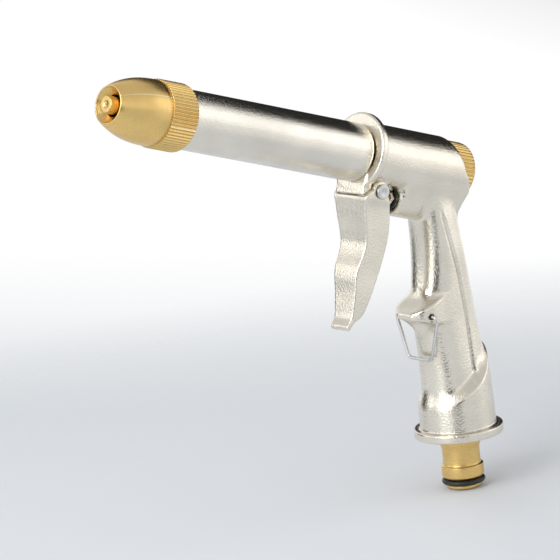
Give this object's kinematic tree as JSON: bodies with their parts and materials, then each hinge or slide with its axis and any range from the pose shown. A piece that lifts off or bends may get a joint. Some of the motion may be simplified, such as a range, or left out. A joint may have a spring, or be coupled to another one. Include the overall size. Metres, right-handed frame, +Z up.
{
  "type": "hose spray nozzle",
  "caption": "Pistol-grip metal hose nozzle with a long tube, twist-adjusted brass head, lever trigger, rear flow knob, wire trigger lock and plug-in hose connector.",
  "frame": {"origin": "centre of the hose connector's lower end face", "axes": "+Z up along the hose connector's axis, +X the way the water leaves, +Y square to the mirror plane; the spray tube's axis crosses +Z 122.03 mm up and rises 19.78 degrees towards +X"},
  "size_m": [0.167, 0.0336, 0.1822],
  "materials": {
    "cast_nickel": "satin nickel plate over a fine-grained die casting",
    "tube_nickel": "satin nickel plate on drawn tube",
    "brass": "satin turned brass",
    "steel": "bright drawn steel",
    "black_rubber": "smooth moulded rubber"
  },
  "bodies": {
    "body": {"body_casting": "cast_nickel", "hose_connector": "brass", "connector_o_ring": "black_rubber", "connector_gasket": "black_rubber", "barrel_tube": "tube_nickel", "barrel_o_ring": "black_rubber", "head_spigot": "brass", "jet_core": "brass", "regulator_bush": "brass", "trigger_pin": "steel", "gland_nut": "cast_nickel", "gland_washer": "black_rubber", "stem_o_ring": "black_rubber", "valve_cage": "brass", "valve_seat": "brass", "valve_spring": "steel"},
    "trigger": {"trigger": "cast_nickel"},
    "valve_stem": {"valve_stem": "brass", "valve_washer": "black_rubber", "valve_plug": "brass"},
    "head_seal": {"head_o_ring": "black_rubber"},
    "nozzle_head": {"nozzle_head": "brass"},
    "regulator_seal": {"regulator_o_ring": "black_rubber"},
    "regulator_knob": {"regulator_knob": "brass"},
    "lock_clip": {"lock_clip": "steel"}
  },
  "joints": [
    {"name": "trigger_pivot", "type": "hinge", "parent": "body", "child": "trigger", "pos_m": [0.03441, 0, 0.12091], "axis": [0, 1, 0], "range_deg": [0, 27]},
    {"name": "valve_push", "type": "slide", "parent": "body", "child": "valve_stem", "axis": [-0.941, 0, -0.3384], "range_m": [0, 0.00137], "stiffness_N_per_m": 900, "springref_m": -0.006, "deforming": ["valve_spring"]},
    {"name": "head_advance", "type": "slide", "parent": "body", "child": "head_seal", "axis": [0.941, 0, 0.3384], "range_m": [-0.00063, 0.003]},
    {"name": "head_turn", "type": "hinge", "parent": "head_seal", "child": "nozzle_head", "pos_m": [0.13174, 0, 0.16941], "axis": [0.941, 0, 0.3384], "range_deg": [-150, 720]},
    {"name": "regulator_advance", "type": "slide", "parent": "body", "child": "regulator_seal", "axis": [-0.941, 0, -0.3384], "range_m": [0, 0.002]},
    {"name": "regulator_turn", "type": "hinge", "parent": "regulator_seal", "child": "regulator_knob", "pos_m": [-0.00753, 0, 0.11932], "axis": [-0.941, 0, -0.3384], "range_deg": [0, 720]},
    {"name": "lock_clip_swing", "type": "hinge", "parent": "body", "child": "lock_clip", "pos_m": [0.0156, 0, 0.0696], "axis": [0, -1, 0], "range_deg": [0, 104]}
  ],
  "couplings": [
    {"joint": "trigger_pivot", "follows": "valve_push", "rad_per_m": 344.8},
    {"joint": "head_turn", "follows": "head_advance", "rad_per_m": 4188.8},
    {"joint": "regulator_turn", "follows": "regulator_advance", "rad_per_m": 6283.2}
  ]
}
